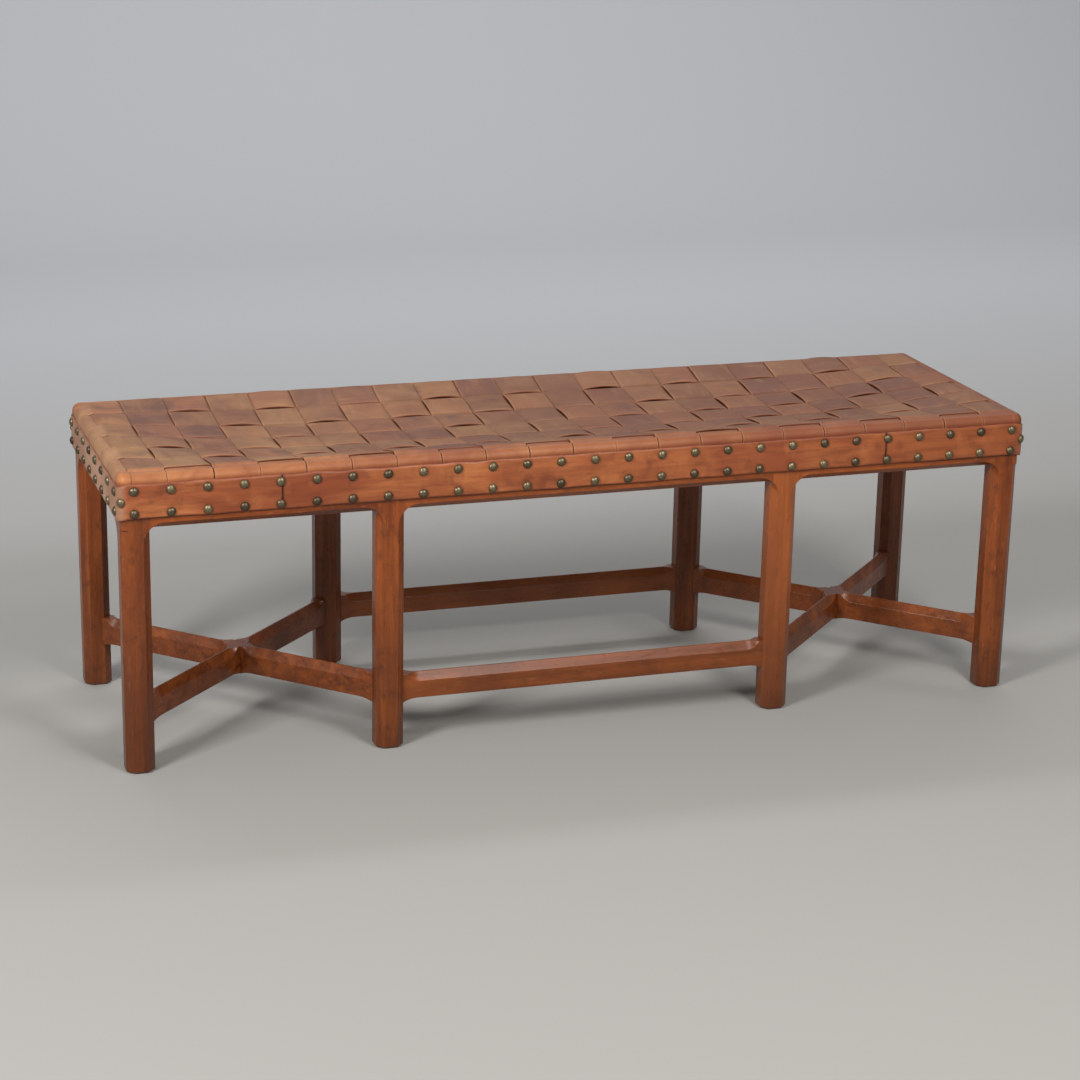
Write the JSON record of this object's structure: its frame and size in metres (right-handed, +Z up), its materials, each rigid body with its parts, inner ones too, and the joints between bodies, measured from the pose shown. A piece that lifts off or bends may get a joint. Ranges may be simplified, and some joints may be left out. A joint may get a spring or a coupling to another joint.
{
  "type": "bench",
  "caption": "Long oak bench with a seat of woven leather straps nailed under a leather band, octagonal legs, and crossed stretchers at both ends.",
  "frame": {"origin": "on the floor, under the middle of the seat", "axes": "+X along the length, +Y towards the back, +Z up"},
  "size_m": [1.4182, 0.4382, 0.4531],
  "materials": {
    "oak": "satin, stained reddish brown",
    "strap_leather": "satin, natural tan",
    "band_leather": "satin, orange-brown",
    "brass": "aged, dark"
  },
  "bodies": {
    "root": {"arm_left_from_back": "oak", "arm_left_from_front": "oak", "arm_right_from_back": "oak", "arm_right_from_front": "oak", "band_back": "band_leather", "band_front": "band_leather", "band_left_end": "band_leather", "band_right_end": "band_leather", "cross_rail_left": "oak", "cross_rail_right": "oak", "cross_strap_01": "strap_leather", "cross_strap_02": "strap_leather", "cross_strap_03": "strap_leather", "cross_strap_04": "strap_leather", "cross_strap_05": "strap_leather", "cross_strap_06": "strap_leather", "cross_strap_07": "strap_leather", "cross_strap_08": "strap_leather", "cross_strap_09": "strap_leather", "cross_strap_10": "strap_leather", "cross_strap_11": "strap_leather", "cross_strap_12": "strap_leather", "cross_strap_13": "strap_leather", "cross_strap_14": "strap_leather", "cross_strap_15": "strap_leather", "cross_strap_16": "strap_leather", "cross_strap_17": "strap_leather", "cross_strap_18": "strap_leather", "cross_strap_19": "strap_leather", "cross_strap_20": "strap_leather", "cross_strap_21": "strap_leather", "leg_back_left": "oak", "leg_back_mid_left": "oak", "leg_back_mid_right": "oak", "leg_back_right": "oak", "leg_front_left": "oak", "leg_front_mid_left": "oak", "leg_front_mid_right": "oak", "leg_front_right": "oak", "long_strap_1": "strap_leather", "long_strap_2": "strap_leather", "long_strap_3": "strap_leather", "long_strap_4": "strap_leather", "long_strap_5": "strap_leather", "long_strap_6": "strap_leather", "nails_back": "brass", "nails_front": "brass", "nails_left": "brass", "nails_right": "brass", "rail_back_centre": "oak", "rail_back_left": "oak", "rail_back_right": "oak", "rail_front_centre": "oak", "rail_front_left": "oak", "rail_front_right": "oak", "rail_left_end": "oak", "rail_right_end": "oak", "stretcher_back": "oak", "stretcher_front": "oak"}
  },
  "joints": []
}
